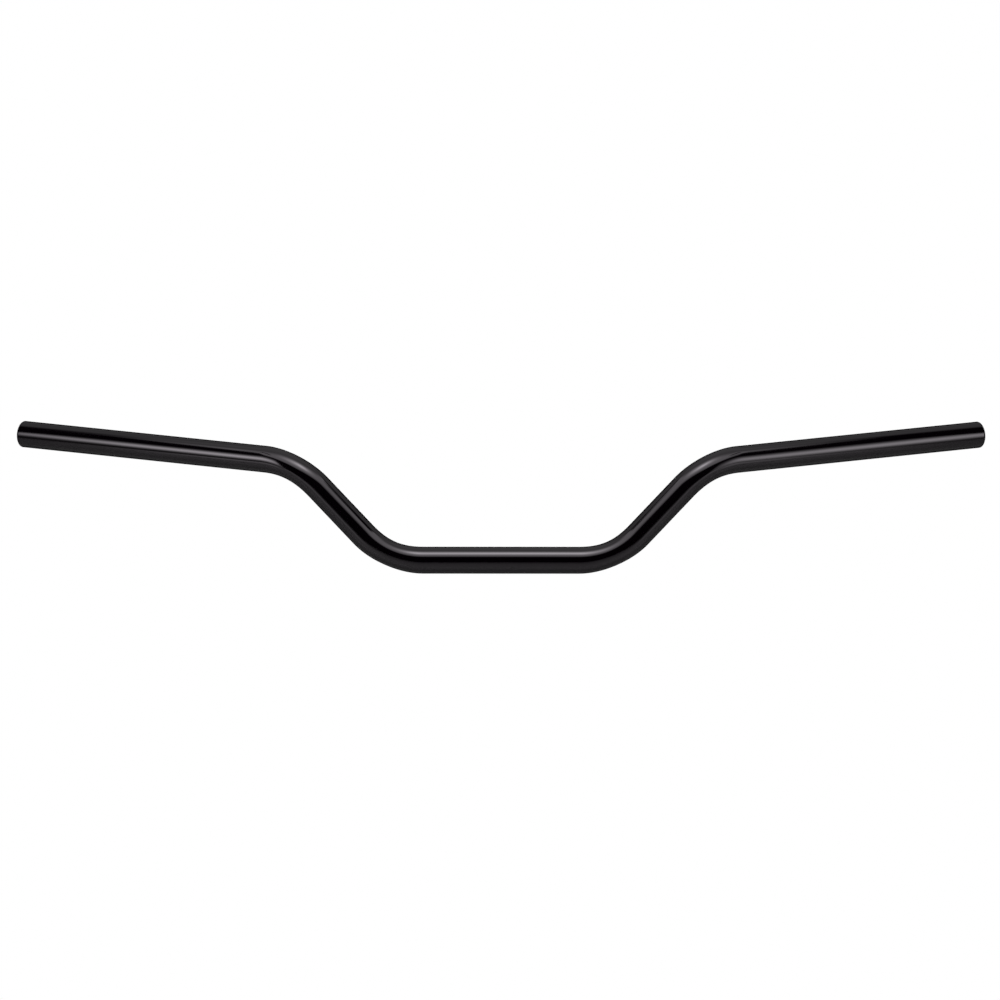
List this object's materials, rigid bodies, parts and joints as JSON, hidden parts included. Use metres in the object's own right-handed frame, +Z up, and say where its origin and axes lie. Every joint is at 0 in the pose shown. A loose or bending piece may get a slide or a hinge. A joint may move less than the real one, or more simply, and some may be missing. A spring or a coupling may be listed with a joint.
{
  "type": "tracker handlebar",
  "caption": "Tracker motorcycle handlebar: a bent round steel tube with a straight clamp stretch, angled risers and long swept-back grips, open at its ends, gloss black.",
  "frame": {"origin": "middle of the clamp stretch, on the tube's centreline", "axes": "+X along the clamp stretch towards the rider's left hand, +Y back towards the rider, +Z up with the grips level"},
  "size_m": [0.813, 0.1656, 0.1],
  "materials": {
    "gloss_black_paint": "gloss"
  },
  "bodies": {
    "root": {"handlebar_tube": "gloss_black_paint"}
  },
  "joints": []
}
